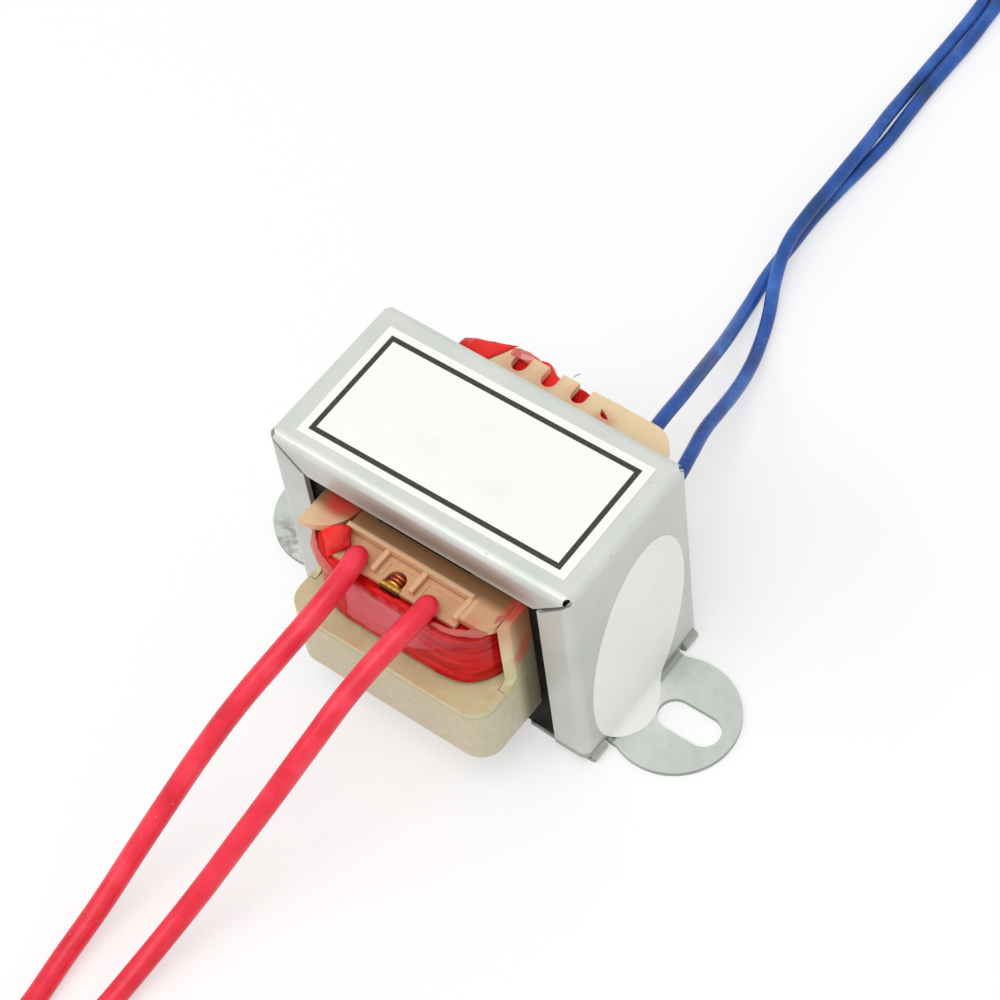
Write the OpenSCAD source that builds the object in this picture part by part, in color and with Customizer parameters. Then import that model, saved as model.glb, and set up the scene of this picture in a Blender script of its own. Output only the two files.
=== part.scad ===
// Laminated chassis transformer: an EI core in a folded steel clamp, a two-chamber bobbin
// with a lead tray, two half covers over the lower winding, and four free leads.
// X runs from ear to ear, the red leads leave at -Y, the blue ones at +Y, and Z is up.
// The origin is midway between the two ear slots, on the underside of the ears.

/* [Core] */
// Length of an assembled E and I sheet
lam_w = 41; // [36:0.5:52]
// Height of an assembled E and I sheet
lam_h = 33; // [28:0.5:42]
// Width of the centre leg
tongue_w = 13; // [10:0.5:16]
// Width of an outer leg, and height of a yoke
leg_w = 6; // [4.5:0.25:7.5]
// Thickness of one sheet
sheet_t = 0.48; // [0.3:0.01:0.6]
// Number of sheets in the stack
sheet_count = 41; // [31:2:51]

/* [Clamp frame] */
// Thickness of the folded sheet
frame_t = 0.7; // [0.5:0.05:1]
// Outer radius of the folds
fold_r = 1.2; // [1:0.05:1.25]
// Height of the front and rear lips below the top face
top_lip_h = 4.9; // [4:0.1:6]
// Width of the four return lips beside the windings
side_lip_w = 4.7; // [4:0.1:5.5]
// Width of the slits at the four upper corners
slit_w = 0.5; // [0.3:0.05:0.8]
// Diameter of the relief hole where each slit starts
relief_d = 1; // [0.8:0.1:1.4]
// Height of the bottom edges of the side walls
wall_z = 1.4; // [1:0.1:2]

/* [Ears] */
// Radius of the round end of an ear
ear_r = 8; // [7.5:0.1:9]
// Width of an ear where it leaves the wall
ear_root_w = 14.6; // [13:0.1:15.5]
// Distance from the wall to the centre of an ear's round end
ear_out = 4.45; // [3.5:0.05:6]
// Distance from the wall to the centre of a slot
slot_out = 6.55; // [5.5:0.05:7]
// Width of a slot
slot_w = 4.3; // [3:0.1:5]
// Length of a slot from end to end
slot_l = 8.35; // [6:0.05:9]
// Inner radius of the bend between the wall and the ear
ear_bend_r = 0.5; // [0.3:0.1:1]

/* [Hooks] */
// Width of a hook
hook_w = 2.4; // [1.8:0.1:2.8]
// Distance between the two hooks of a wall
hook_apart = 16; // [15.8:0.1:17.4]
// Length of a hook under the core, from the outside of the wall
hook_l = 9; // [7:0.5:12]
// Inner radius of the curl of a hook
hook_r = 0.25; // [0.2:0.05:0.5]
// How far the curl of a hook stands out from the wall
hook_out = 0.6; // [0.3:0.1:0.9]
// Rise of the tip of a hook to the underside of the core
hook_rise = 0.2; // [0.1:0.1:0.6]

/* [Bobbin] */
// Wall of the tube
tube_wall = 0.9; // [0.7:0.1:1.2]
// Thickness of a flange
flange_t = 1; // [0.8:0.1:1.3]
// Height of the lower chamber, between the bottom and the middle flange
lower_room = 6.7; // [5:0.1:8]
// Radius of the two left corners of the upper flange, drawn about the core's corners
flange_out = 5.2; // [4.6:0.1:5.6]
// How far the upper flange stands out behind the core
ledge_out = 7.5; // [6.8:0.1:8.2]
// How far the ledge reaches to the left of the middle
ledge_left = 10.6; // [9.4:0.1:11.6]
// How far the round right end of the ledge stands out beside the cover
ledge_side = 1.3; // [1:0.1:2]
// Radius of the round right end of the ledge
ledge_r = 3.7; // [3:0.1:4.4]
// How far the lead tray stands out in front of the core
tray_out = 6.4; // [6.2:0.1:7.2]
// Radius of the front right and rear left corners of the upper flange
corner_r = 1.8; // [1:0.1:2.6]
// How far the front right corner of the upper flange lies behind the front of the tray
corner_back = 0.9; // [0.6:0.1:1.4]
// Width of the lead tray
tray_w = 18; // [16:0.5:19]
// Depth of the tray floor below the upper face of the flange
tray_drop = 0.75; // [0.4:0.05:0.9]
// Thickness of the tray floor
tray_t = 0.6; // [0.5:0.05:0.8]
// Thickness of the ribs and walls of the tray
rib_t = 0.6; // [0.5:0.1:1]
// Height of the ribs above the tray floor
rib_h = 0.9; // [0.6:0.1:1.4]
// Height of the rail behind the tray above the tray floor
rail_h = 1.3; // [1:0.1:2]
// Distance from the core to the front of the rail
rail_out = 2.9; // [2.4:0.1:3.4]
// Width of the wire hole in the middle of the tray
wire_hole_d = 2.5; // [2:0.1:2.8]
// Width of the notches in the rear ledge
notch_w = 2; // [1.5:0.1:2.6]
// Spacing of the notches in the rear ledge
notch_pitch = 4.3; // [3.4:0.1:4.8]
// Depth of the notches in the rear ledge, to the centre of their round ends
notch_l = 1.6; // [1:0.1:2.6]

/* [Covers] */
// Wall of a half cover
cover_wall = 0.9; // [0.7:0.05:1.1]
// How far a half cover stands out from the core
cover_out = 10.4; // [9:0.1:12]
// Radius of the upright corners of a half cover
cover_r = 3; // [2:0.5:4]
// How far the cheeks of a half cover stand out from the core
cheek_out = 4.4; // [3:0.1:4.6]
// Radius of the sweep from a cheek down to the lower box
cheek_r = 0.8; // [0.5:0.1:1.4]
// Slant of the end faces of a cheek
cheek_slant = 50; // [46:1:60]

/* [Windings] */
// How far the taped upper winding stands out in front of the core
upper_front = 7.3; // [6.5:0.1:8]
// How far the taped upper winding stands out behind the core
upper_rear = 7.4; // [6.5:0.1:8]
// How far the taped lower winding stands out from the core
lower_out = 7.1; // [6:0.1:8]
// Thickness of the tape
tape_t = 0.25; // [0.1:0.05:0.4]
// Diameter of the enamelled wire ends
wire_d = 0.45; // [0.3:0.05:0.5]

/* [Leads] */
// Diameter of a red lead
red_d = 2.7; // [2:0.1:3]
// Diameter of a blue lead
blue_d = 1.8; // [1.4:0.1:2]
// Share of a lead's diameter that its stranded conductor takes
strand_share = 0.5; // [0.3:0.05:0.6]
// Length of the bare end of a lead
bare_l = 5; // [3:0.5:10]
// Diameter of the conductors that go down from the red leads
joint_d = 0.7; // [0.5:0.1:0.8]
// Distance from the inner end of a red lead to its conductor
joint_back = 0.6; // [0.4:0.1:0.6]

/* [Labels] */
// Thickness of a label
label_t = 0.12; // [0.08:0.01:0.2]
// Length of the top label
top_label_l = 37.4; // [20:0.1:38]
// Width of the top label
top_label_w = 17.5; // [10:0.1:19]
// Angle by which the top label is stuck on askew
top_label_turn = 0.6; // [-2:0.1:2]
// Width of the oval side label
oval_w = 17.4; // [10:0.1:18]
// Height of the oval side label along the wall and ear
oval_h = 30.9; // [20:0.1:31]
// Angle by which the oval label leans
oval_turn = 13; // [-15:1:15]
// Height of the middle of the oval label
oval_z = 13.7; // [12:0.1:18]
// Radius in which the oval label bridges the bend of the ear
oval_bend_r = 1.2; // [0.6:0.1:2]

/* [Clearances] */
// Gap between two sheets
sheet_gap = 0.02; // [0.01:0.01:0.05]
// Gap between the core and the side walls of the frame
wall_gap = 0.1; // [0.1:0.05:0.3]
// Gap between the core and the top of the frame, which clears the inside of the folds
top_gap = 0.2; // [0.2:0.05:0.4]
// Gap between the core and the front and rear lips of the frame
lip_gap = 0.3; // [0.1:0.05:0.5]
// Gap between the centre leg and the tube of the bobbin
tube_gap = 0.2; // [0.1:0.05:0.3]
// Gap between the bobbin and the yokes, and between the covers and the flanges
end_gap = 0.1; // [0.05:0.05:0.2]
// Gap between the flanges and the outer legs
leg_gap = 0.15; // [0.1:0.05:0.3]
// Gap between a winding and the tube or flange beside it
coil_gap = 0.1; // [0.05:0.05:0.2]
// Gap round a lead in its hole
lead_gap = 0.2; // [0.1:0.05:0.3]

/* [Hidden] */
$fn = 64;
// Overrun of a cutting shape past the face that it cuts
over = 1;

// Core, standing on the tips of the hooks
core_z = frame_t + hook_rise;
core_top = core_z + lam_h;
stack_d = sheet_count * (sheet_t + sheet_gap) - sheet_gap;
window_w = (lam_w - tongue_w) / 2 - leg_w;
window_z = core_z + leg_w;
window_top = core_top - leg_w;

// Clamp frame
frame_w = lam_w + 2 * (wall_gap + frame_t);
frame_d = stack_d + 2 * (lip_gap + frame_t);
frame_h = core_top + top_gap + frame_t;
frame_x = frame_w / 2;
frame_y = frame_d / 2;
lip_z = frame_h - top_lip_h;

// Bobbin
tube_in = [tongue_w + 2 * tube_gap, stack_d + 2 * tube_gap];
tube_out = [tube_in.x + 2 * tube_wall, tube_in.y + 2 * tube_wall];
bobbin_z = window_z + end_gap;
bobbin_top = window_top - end_gap;
core_y = stack_d / 2;
flange_x = tongue_w / 2 + window_w - leg_gap;
cheek_x = flange_x - cover_wall - end_gap;
bottom_flange_z = bobbin_z + cover_wall + end_gap;
lower_z = bottom_flange_z + flange_t;
middle_flange_z = lower_z + lower_room;
upper_z = middle_flange_z + flange_t;
upper_top = bobbin_top - flange_t;
ledge_y = core_y + ledge_out;
tray_y = core_y + tray_out;
tray_floor = bobbin_top - tray_drop;
rail_y = core_y + rail_out;

// Covers
cover_y = core_y + cover_out;
cover_top = middle_flange_z - end_gap;
cheek_y = core_y + cheek_out;
cheek_foot_y = cheek_y + cheek_r / cos(cheek_slant);

// Windings
coil_in = [tube_out.x + 2 * coil_gap, tube_out.y + 2 * coil_gap];
upper_x = cheek_x - coil_gap;
lower_x = flange_x - cover_wall - 2 * coil_gap;
tape_top = tray_floor - tray_t - coil_gap;
coil_top = tape_top - tape_t;

// Centres of the tray's ribs and side walls across the tray
tray_ribs = [-(tray_w - rib_t) / 2, -3, 2.4, (tray_w - rib_t) / 2];
// Centre of the round rear of the wire hole
wire_hole = [-0.2, -tray_y + 1.2];

// Routes of the leads, from the bobbin to the free end
red_left_route = [
    [-5.4, -14.6, 28.3], [-5, -17.4, 28.3], [-4.9, -22.5, 27.6], [-5.9, -29, 25.3],
    [-7.7, -35.2, 21.5], [-9.5, -40.8, 16.8], [-11, -46.2, 12], [-12.2, -52, 7.5],
    [-12.8, -58.5, 3.9], [-12.9, -65.5, 1.9], [-12.2, -73, 1.4], [-12.2, -81, 1.4],
    [-15.2, -88.2, 1.4], [-21.4, -93, 1.4], [-29, -94.6, 1.4], [-37, -94.6, 1.4],
    [-45, -94.6, 1.4]
];
red_right_route = [
    [5.5, -15.4, 28.3], [5.4, -17.8, 28.3], [4.9, -22.5, 27.8], [3.8, -29, 25.6],
    [2.6, -35.3, 21.9], [1, -41.2, 17.2], [-0.7, -46.2, 12.6], [-2.4, -52, 7.9],
    [-3.8, -58, 4.3], [-4.7, -65, 2], [-4.8, -72.5, 1.4], [-3.2, -80.4, 1.4],
    [1.2, -87.2, 1.4], [8, -91.6, 1.4], [15.8, -93.4, 1.4], [23.8, -93.4, 1.4],
    [31.8, -93.4, 1.4]
];
blue_upper_route = [
    [6, 18.4, 13.5], [5.9, 22, 13.6], [5.5, 27, 13.4], [4.9, 31.8, 12.2],
    [3.9, 36.4, 10.3], [2.6, 41, 7.7], [1.2, 45.8, 4.9], [-0.2, 50.6, 2.6],
    [-1.4, 55.7, 1.1], [-2.2, 61, 0.9], [-2.4, 66.4, 0.9], [-2.6, 71.8, 0.9],
    [-2.4, 77.2, 0.9], [-2, 82.6, 0.9], [-1.7, 88, 0.9], [-1.9, 93.4, 0.9],
    [-2.1, 98.8, 0.9], [-2.1, 104.2, 0.9], [-2.1, 109.6, 0.9], [-2.4, 115, 0.9],
    [-2.6, 120.4, 0.9], [-2.8, 125.8, 0.9], [-3, 131.2, 0.9]
];
blue_lower_route = [
    [11.2, 18.4, 11], [11, 22, 11], [10, 26.6, 10.4], [8.7, 31, 8.9],
    [7.7, 35.6, 6.9], [6.6, 40.4, 4.6], [5.3, 45.2, 2.7], [3.7, 50, 1.4],
    [1.8, 55, 1.3], [-0.4, 59.8, 2.1], [-2, 64.9, 2.8], [-2.6, 70.2, 2.8],
    [-2.7, 75.6, 2.8], [-2.8, 81, 2.8], [-3.1, 86.4, 2.4], [-3.6, 91.8, 1.9],
    [-4, 97.2, 1.1], [-4.1, 102.6, 0.9], [-4.1, 108, 0.9], [-4.2, 113.4, 0.9],
    [-4.6, 118.8, 0.9], [-5.2, 124.2, 0.9], [-5.8, 129.6, 0.9]
];

// Places of the two holes through which the red leads' conductors go down to the winding
red_holes = [for (p = [red_left_route[0], red_right_route[0]]) [p.x, p.y - joint_back]];
// Length of the joints between the blue leads and the lower winding
blue_joint_l = blue_upper_route[0].y - core_y - lower_out;

zinc = "#cdd2cb";
steel = "#5d6062";
cream = "#cdbf95";
copper = "#b5652f";
tape_red = "#d6222b";
lead_red = "#e2304a";
lead_blue = "#2c58a8";
tin = "#c9c9c4";
paper = "#f7f6f1";

// ---- Shared shapes ----

// Rectangle centred on the origin with round corners
module round_rect(size, r) {
    union() {
        square([size.x - 2 * r, size.y], center = true);
        square([size.x, size.y - 2 * r], center = true);
        for (sx = [-1, 1], sy = [-1, 1])
            translate([sx * (size.x / 2 - r), sy * (size.y / 2 - r)]) circle(r);
    }
}

// Slot along X with round ends, centred on the origin
module round_slot(l, w) {
    union() {
        square([l - w, w], center = true);
        for (sx = [-1, 1])
            translate([sx * (l - w) / 2, 0]) circle(w / 2);
    }
}

// Upright profile, open at the bottom, with its two upper corners round
module arch(w, bottom, top, r) {
    union() {
        translate([-w / 2, bottom]) square([w, top - r - bottom]);
        translate([-w / 2 + r, bottom]) square([w - 2 * r, top - bottom]);
        for (sx = [-1, 1])
            translate([sx * (w / 2 - r), top - r]) circle(r);
    }
}

// Stands a profile drawn in X and Z upright and extrudes it along Y, centred
module along_y(d) {
    rotate([90, 0, 0]) linear_extrude(d, center = true) children();
}

// Stands a profile drawn in Y and Z upright and extrudes it along X, centred
module along_x(w) {
    rotate([90, 0, 90]) linear_extrude(w, center = true) children();
}

// Points of a squarish oval, the outline of a wound coil
function coil_outline(half_w, front, rear, n = 5.5, steps = 56) = [
    for (i = [0 : steps - 1])
        let (a = 360 * i / steps, c = cos(a), s = sin(a))
        [half_w * sign(c) * pow(abs(c), 2 / n), (s < 0 ? front : rear) * sign(s) * pow(abs(s), 2 / n)]
];

// Direction of a route at one of its points
function heading(path, i) =
    let (a = path[max(i - 1, 0)], b = path[min(i + 1, len(path) - 1)])
    (b - a) / norm(b - a);

// Ring of points round one point of a route, square to its heading
function ring(p, dir, r, sides) =
    let (side = cross(dir, [0, 0, 1]) / norm(cross(dir, [0, 0, 1])), up = cross(side, dir))
    [for (k = [0 : sides - 1])
        let (a = 360 * (k + 0.5) / sides)
        p + r * (cos(a) * side + sin(a) * up)];

// Round bar swept along the points of a route
module swept(path, d, sides = 8) {
    rings = len(path);
    points = [for (i = [0 : rings - 1]) each ring(path[i], heading(path, i), d / 2, sides)];
    skin = [for (i = [0 : rings - 2], k = [0 : sides - 1])
        let (a = i * sides + k, b = i * sides + (k + 1) % sides)
        [a, b, b + sides, a + sides]];
    caps = [
        [for (k = [sides - 1 : -1 : 0]) k],
        [for (k = [0 : sides - 1]) (rings - 1) * sides + k]
    ];
    polyhedron(points, concat(skin, caps), convexity = 6);
}

// Straight round rod of length l that leaves a point in a direction
module rod(p, dir, l, d) {
    translate(p) rotate([0, acos(dir.z), atan2(dir.y, dir.x)]) cylinder(h = l, d = d, $fn = 24);
}

// ---- Clamp frame ----

// Box of the folded frame, open at the bottom, shrunk by a margin on every side
module frame_box(margin) {
    w = frame_w - 2 * margin;
    d = frame_d - 2 * margin;
    top = frame_h - margin;
    r = fold_r - margin;
    bottom = wall_z - (margin > 0 ? over : 0);
    intersection() {
        translate([0, 0, bottom]) linear_extrude(top - bottom) round_rect([w, d], r);
        along_y(d + 2 * over) arch(w, bottom - over, top, r);
        along_x(w + 2 * over) arch(d, bottom - over, top, r);
    }
}

// Slit at an upper corner, with its relief hole, for the corner at +X and +Y
module corner_slit() {
    lip_x = frame_x - side_lip_w;
    run = side_lip_w + over;
    translate([lip_x, frame_y + over, lip_z]) rotate([90, 0, 0])
        linear_extrude(over + frame_t + lip_gap / 2)
            polygon([[-slit_w, 0], [slit_w, 0], [run + slit_w / 2, run], [run - slit_w / 2, run]]);
    translate([frame_x - relief_d, frame_y - relief_d, frame_h - relief_d])
        rotate([-45, 0, 0]) rotate([0, 35.3, 0]) cylinder(h = 3 * relief_d, d = relief_d);
}

// Ear with its slot, for the +X side
module ear() {
    bend_x = frame_x + ear_bend_r;
    difference() {
        union() {
            translate([frame_x + ear_out, 0, 0]) cylinder(h = frame_t, r = ear_r);
            translate([bend_x, -ear_root_w / 2, 0])
                cube([ear_out - ear_bend_r, ear_root_w, frame_t]);
        }
        translate([0, -ear_r - over, -over])
            cube([bend_x, 2 * (ear_r + over), frame_t + 2 * over]);
        translate([frame_x + slot_out, 0, -over]) linear_extrude(frame_t + 2 * over)
            round_slot(slot_l, slot_w);
    }
    // Quarter bend up into the wall
    translate([bend_x, ear_root_w / 2, frame_t + ear_bend_r]) rotate([90, 0, 0])
        linear_extrude(ear_root_w) intersection() {
            difference() {
                circle(ear_bend_r + frame_t);
                circle(ear_bend_r);
            }
            translate([-ear_bend_r - 2 * frame_t, -ear_bend_r - 2 * frame_t])
                square(ear_bend_r + 2 * frame_t);
        }
    translate([frame_x - frame_t, -ear_root_w / 2, frame_t + ear_bend_r])
        cube([frame_t, ear_root_w, wall_z - ear_bend_r]);
}

// Profile of a hook in X and Z, from the curl at the wall to the tip under the core
module hook_profile() {
    curl_r = hook_r + frame_t;
    curl_x = frame_x + hook_out - curl_r;
    tip_x = frame_x - hook_l;
    step = 2 * frame_t;
    translate([curl_x, curl_r]) intersection() {
        difference() {
            circle(curl_r);
            circle(hook_r);
        }
        translate([0, -curl_r - over]) square([curl_r + over, 2 * (curl_r + over)]);
    }
    polygon([
        [curl_x, 0], [curl_x, frame_t], [tip_x + 2 * step, frame_t],
        [tip_x + step, core_z], [tip_x, core_z], [tip_x, hook_rise],
        [tip_x + step, hook_rise], [tip_x + 2 * step, 0]
    ]);
}

module clamp_frame() color(zinc) {
    difference() {
        frame_box(0);
        frame_box(frame_t);
        // Open front and rear, between the return lips and under the upper lips
        translate([side_lip_w - frame_x, -frame_d, -over])
            cube([frame_w - 2 * side_lip_w, 2 * frame_d, lip_z + over]);
        for (mx = [0, 1], my = [0, 1])
            mirror([mx, 0, 0]) mirror([0, my, 0]) corner_slit();
    }
    for (mx = [0, 1]) mirror([mx, 0, 0]) {
        ear();
        for (my = [0, 1]) mirror([0, my, 0])
            translate([0, hook_apart / 2 + hook_w / 2, 0]) along_y(hook_w) hook_profile();
    }
}

// ---- Core ----

// Place of sheet i in the stack, counted from the front
function sheet_y(i) = -stack_d / 2 + i * (sheet_t + sheet_gap);

// Outline of an E sheet, standing with its yoke down on z = 0
module e_outline() {
    leg_h = lam_h - leg_w;
    difference() {
        translate([-lam_w / 2, 0]) square([lam_w, leg_h]);
        for (sx = [-1, 1])
            translate([sx * (tongue_w + window_w) / 2 - window_w / 2, leg_w])
                square([window_w, leg_h]);
    }
}

module e_sheet() {
    translate([0, sheet_t, 0]) rotate([90, 0, 0]) linear_extrude(sheet_t) e_outline();
}

module i_sheet() {
    translate([-lam_w / 2, 0, 0]) cube([lam_w, sheet_t, leg_w]);
}

module e_sheets_yoke_up() color(steel) {
    for (i = [0 : 2 : sheet_count - 1])
        translate([0, sheet_y(i), core_top]) mirror([0, 0, 1]) e_sheet();
}

module i_sheets_bottom() color(steel) {
    for (i = [0 : 2 : sheet_count - 1]) translate([0, sheet_y(i), core_z]) i_sheet();
}

module e_sheets_yoke_down() color(steel) {
    for (i = [1 : 2 : sheet_count - 1]) translate([0, sheet_y(i), core_z]) e_sheet();
}

module i_sheets_top() color(steel) {
    for (i = [1 : 2 : sheet_count - 1])
        translate([0, sheet_y(i), core_top - leg_w]) i_sheet();
}

// ---- Bobbin ----

// Outline of the box that the lower flanges and the covers share
module box_outline(margin) {
    round_rect([2 * (flange_x - margin), 2 * (cover_y - margin)], cover_r - margin);
}

// Outline of the upper flange round its tray: two round corners on the left, a corner at
// the front right beside the cover's cheek, and a notched ledge with a round end at the rear
module upper_outline() {
    in_x = cheek_x - end_gap;
    difference() {
        union() {
            translate([-flange_x, -core_y]) square([flange_x + in_x, 2 * core_y]);
            translate([0, end_gap]) square([flange_x, core_y]);
            for (sy = [-1, 1]) intersection() {
                translate([-flange_x, sy * core_y]) circle(flange_out);
                square([2 * flange_x, 4 * core_y], center = true);
            }
            translate([-tray_w / 2, -rail_y]) square([tray_w, rail_y]);
            translate([in_x / 2, -core_y / 2])
                round_rect([in_x, 2 * (tray_y - corner_back) - core_y], corner_r);
            translate([0, core_y]) round_rect([2 * ledge_left, 2 * ledge_out], corner_r);
            // Right end of the ledge, which reaches past the cover behind the core
            translate([flange_x + ledge_side - 2 * ledge_r, ledge_y - ledge_r])
                round_slot(4 * ledge_r, 2 * ledge_r);
        }
        translate([-tray_w / 2, -tray_y - over]) square([tray_w, tray_y - rail_y + over]);
        for (k = [-1.5 : 1 : 1.5]) translate([k * notch_pitch, ledge_y - notch_l]) {
            circle(notch_w / 2);
            translate([-notch_w / 2, 0]) square([notch_w, notch_l + over]);
        }
    }
}

// Lead tray: floor, rail, ribs and holes
module tray() {
    difference() {
        translate([0, 0, tray_floor - tray_t]) {
            translate([-tray_w / 2, -tray_y, 0]) cube([tray_w, tray_y - core_y, tray_t]);
            translate([-tray_w / 2, -rail_y, 0]) cube([tray_w, rib_t, tray_t + rail_h]);
            for (x = tray_ribs) translate([x - rib_t / 2, rib_t - tray_y, 0])
                cube([rib_t, tray_y - rail_y, tray_t + rib_h]);
        }
        translate([0, 0, tray_floor - flange_t - over]) linear_extrude(flange_t + 2 * over) {
            wire_hole_outline();
            for (p = red_holes) translate(p) circle(joint_d / 2 + lead_gap);
        }
    }
}

// Outline of the wire hole, round at the rear and straight at the front
module wire_hole_outline() translate(wire_hole) intersection() {
    union() {
        circle(wire_hole_d / 2);
        translate([-wire_hole_d / 2, -wire_hole_d / 2]) square([wire_hole_d, wire_hole_d / 2]);
    }
    translate([-wire_hole_d, -wire_hole_d / 3]) square(2 * wire_hole_d);
}

module bobbin() color(cream) {
    difference() {
        union() {
            translate([0, 0, bobbin_z]) linear_extrude(bobbin_top - bobbin_z)
                square(tube_out, center = true);
            translate([0, 0, bottom_flange_z]) linear_extrude(flange_t)
                box_outline(cover_wall + end_gap);
            translate([0, 0, middle_flange_z]) linear_extrude(flange_t) {
                box_outline(cover_wall + end_gap);
                difference() {
                    box_outline(0);
                    square([2 * flange_x + over, 2 * (cheek_foot_y + end_gap)], center = true);
                }
            }
            translate([0, 0, upper_top]) linear_extrude(flange_t) upper_outline();
            tray();
        }
        translate([0, 0, bobbin_z - over]) linear_extrude(bobbin_top - bobbin_z + 2 * over)
            square(tube_in, center = true);
    }
}

// ---- Covers ----

// Profile of the space ahead of a cheek, with the sweep at its foot, in Y and Z
module cheek_cut_profile() {
    difference() {
        translate([-cover_y, upper_z]) square([cover_y, bobbin_top]);
        difference() {
            translate([-cheek_r, upper_z - over]) square([cheek_r + over, cheek_r + over]);
            translate([-cheek_r, upper_z + cheek_r]) circle(cheek_r);
        }
    }
}

// Half cover for the front, with a lower box and two cheeks that end at given heights
module half_cover(left_top, right_top) {
    difference() {
        union() {
            translate([0, 0, bobbin_z]) linear_extrude(cover_top - bobbin_z) box_outline(0);
            intersection() {
                translate([0, 0, cover_top - over]) linear_extrude(bobbin_top) box_outline(0);
                union() {
                    translate([-2 * flange_x, -cheek_foot_y, 0])
                        cube([2 * flange_x, cheek_foot_y, left_top]);
                    translate([0, -cheek_foot_y, 0]) cube([2 * flange_x, cheek_foot_y, right_top]);
                }
            }
        }
        for (sx = [-1, 1])
            translate([sx * (flange_x - cover_wall), -cheek_y, 0]) rotate(sx * cheek_slant)
                along_x(4 * cheek_r + cover_out) cheek_cut_profile();
        translate([0, 0, bobbin_z + cover_wall]) linear_extrude(bobbin_top)
            box_outline(cover_wall);
        translate([0, 0, bobbin_z - over]) linear_extrude(cover_wall + 2 * over)
            square([tube_out.x + 2 * end_gap, tube_out.y + 2 * end_gap], center = true);
        translate([-flange_x - over, 0, bobbin_z - over])
            cube([2 * (flange_x + over), cover_y + over, bobbin_top]);
    }
}

module front_cover() color(cream) half_cover(upper_top - end_gap, bobbin_top);

module rear_cover() color(cream) {
    difference() {
        mirror([0, 1, 0]) half_cover(upper_top - end_gap, upper_top - end_gap);
        for (route = [blue_upper_route, blue_lower_route])
            translate([route[0].x, core_y + lower_out, route[0].z]) rotate([-90, 0, 0])
                cylinder(h = cover_out, d = blue_d + 2 * lead_gap);
    }
}

// ---- Windings ----

upper_skin = coil_outline(upper_x, core_y + upper_front, core_y + upper_rear);
upper_core = coil_outline(upper_x - tape_t, core_y + upper_front - tape_t, core_y + upper_rear - tape_t);
lower_skin = coil_outline(lower_x, core_y + lower_out, core_y + lower_out);
lower_core = coil_outline(lower_x - tape_t, core_y + lower_out - tape_t, core_y + lower_out - tape_t);

// Coil round the tube with a given outline, between two heights; its children are its hollow
module coil(outline, bottom, top) {
    translate([0, 0, bottom]) linear_extrude(top - bottom) difference() {
        polygon(outline);
        children();
    }
}

module upper_winding() color(copper)
    coil(upper_core, upper_z + coil_gap, coil_top) square(coil_in, center = true);

// Tape round the upper winding and over its top, open where the conductors come up
module upper_tape() color(tape_red) {
    coil(upper_skin, upper_z + coil_gap, tape_top) polygon(upper_core);
    coil(upper_core, coil_top, tape_top) {
        square(coil_in, center = true);
        wire_hole_outline();
        for (p = red_holes) translate(p) circle(joint_d / 2 + lead_gap);
    }
}

module lower_winding() color(copper)
    coil(lower_core, lower_z + coil_gap, middle_flange_z - coil_gap) square(coil_in, center = true);

module lower_tape() color(tape_red)
    coil(lower_skin, lower_z + coil_gap, middle_flange_z - coil_gap) polygon(lower_core);

// Three loops of enamelled wire that lie side by side in the wire hole of the tray
module winding_wire_ends() color(copper) {
    loop_r = wire_hole_d / 2 - wire_d;
    loop_z = tray_floor - loop_r + wire_d / 2;
    $fn = 24;
    for (k = [-1 : 1])
        translate([wire_hole.x, wire_hole.y + 1.1 * k * wire_d, 0]) {
            translate([0, 0, loop_z]) rotate([90, 0, 0]) rotate_extrude(angle = 180)
                translate([loop_r, 0]) circle(wire_d / 2);
            for (sx = [-1, 1]) translate([sx * loop_r, 0, coil_top])
                cylinder(h = loop_z - coil_top, d = wire_d);
        }
}

// ---- Leads ----

module red_lead_left() color(lead_red) swept(red_left_route, red_d);
module red_lead_right() color(lead_red) swept(red_right_route, red_d);
module blue_lead_upper() color(lead_blue) swept(blue_upper_route, blue_d);
module blue_lead_lower() color(lead_blue) swept(blue_lower_route, blue_d);

// Conductor that stands out of the free end of a lead
module bare_end(route, d) {
    end = len(route) - 1;
    color(tin) rod(route[end], heading(route, end), bare_l, d * strand_share);
}

module red_left_bare_end() bare_end(red_left_route, red_d);
module red_right_bare_end() bare_end(red_right_route, red_d);
module blue_upper_bare_end() bare_end(blue_upper_route, blue_d);
module blue_lower_bare_end() bare_end(blue_lower_route, blue_d);

// Conductors at the inner ends of the leads, down to the upper winding from the red ones
// and in to the lower winding from the blue ones
module lead_joints() color(tin) {
    for (p = red_holes)
        rod([p.x, p.y, coil_top], [0, 0, 1], tray_floor - coil_top, joint_d);
    for (route = [blue_upper_route, blue_lower_route])
        rod(route[0], -heading(route, 0), blue_joint_l, blue_d * strand_share);
}

// ---- Labels ----

module top_label() color(paper)
    translate([0.2, -0.2, frame_h]) rotate(top_label_turn)
        translate([-top_label_l / 2, -top_label_w / 2, 0])
            cube([top_label_l, top_label_w, label_t]);

// Point of the label's section in X and Z, at a depth s below the start of its bend
function bent(s, off) =
    let (a = s / oval_bend_r * 180 / PI, x0 = frame_x + oval_bend_r, z0 = frame_t + oval_bend_r,
         r = oval_bend_r - off)
    s < 0 ? [frame_x + off, z0 - s]
    : a < 90 ? [x0 - r * cos(a), z0 - r * sin(a)]
    : [x0 + (s - oval_bend_r * PI / 2), frame_t + off];

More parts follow.
